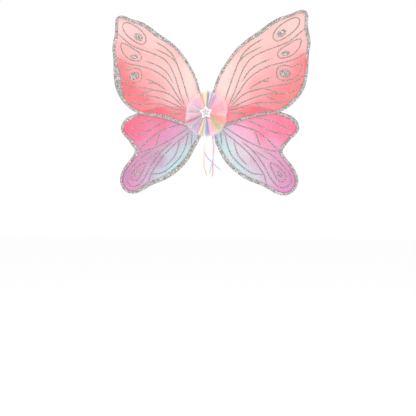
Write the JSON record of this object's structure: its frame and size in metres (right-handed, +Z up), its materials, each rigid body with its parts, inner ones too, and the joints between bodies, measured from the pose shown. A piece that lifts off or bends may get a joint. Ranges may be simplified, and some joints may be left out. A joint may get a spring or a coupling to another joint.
{
  "type": "fairy wings",
  "caption": "Costume fairy wings: sheer glitter-veined fabric on bent wire frames, folding at a padded spine with a tulle rosette, star, ribbons and elastic shoulder straps.",
  "frame": {"origin": "on the spine pad's wearer-side face, midway between the two shoulder straps and the two fold axes", "axes": "+X along the wing span (to the right as seen from behind the wearer), +Y out of the pad towards the wearer, +Z up"},
  "size_m": [0.4874, 0.125, 0.4446],
  "materials": {
    "wire": "smooth white coating",
    "upper_fabric": "sheer stretched knit, peach to coral",
    "lower_fabric": "sheer stretched knit, hot pink to pale blue",
    "tulle": "pleated rainbow tulle",
    "felt": "soft felt",
    "foam": "soft open foam",
    "board": "matte sheet",
    "binding_tape": "wound cloth tape",
    "star_plastic": "glossy white",
    "glitter": "silver glitter",
    "satin_white": "satin",
    "satin_orange": "satin, cream to orange",
    "satin_purple": "satin, white to purple",
    "satin_pink": "satin, pink",
    "satin_blue": "satin, pale blue",
    "elastic": "woven elastic"
  },
  "bodies": {
    "spine": {"back_cover": "felt", "foam_pad": "foam", "strap_tabs": "elastic", "stiffener_board": "board", "root_binding": "binding_tape", "upper_wire_ends": "wire", "lower_wire_ends": "wire", "front_patch": "felt", "ruffle_core": "tulle", "upper_ruffle": "tulle", "lower_ruffle": "tulle", "star_rim": "star_plastic", "star_glitter": "glitter", "ribbon_tie": "satin_white", "ribbon_orange": "satin_orange", "ribbon_purple": "satin_purple", "ribbon_pink": "satin_pink", "ribbon_blue": "satin_blue"},
    "left_wings": {"left_upper_wire": "wire", "left_upper_fabric": "upper_fabric", "left_lower_wire": "wire", "left_lower_fabric": "lower_fabric", "left_ruffle": "tulle"},
    "left_strap": {"left_strap": "elastic"},
    "right_wings": {"right_upper_wire": "wire", "right_upper_fabric": "upper_fabric", "right_lower_wire": "wire", "right_lower_fabric": "lower_fabric", "right_ruffle": "tulle"},
    "right_strap": {"right_strap": "elastic"}
  },
  "joints": [
    {"name": "right_wing_fold", "type": "hinge", "parent": "spine", "child": "right_wings", "pos_m": [0.017, -0.0098, 0], "axis": [0, 0, -1], "range_deg": [-15, 60]},
    {"name": "left_wing_fold", "type": "hinge", "parent": "spine", "child": "left_wings", "pos_m": [-0.017, -0.0098, 0], "axis": [0, 0, 1], "range_deg": [-15, 60]},
    {"name": "right_strap_swing", "type": "hinge", "parent": "spine", "child": "right_strap", "pos_m": [0.0085, 0, 0], "axis": [0, 0, -1], "range_deg": [-12, 30]},
    {"name": "left_strap_swing", "type": "hinge", "parent": "spine", "child": "left_strap", "pos_m": [-0.0085, 0, 0], "axis": [0, 0, 1], "range_deg": [-12, 30]}
  ]
}
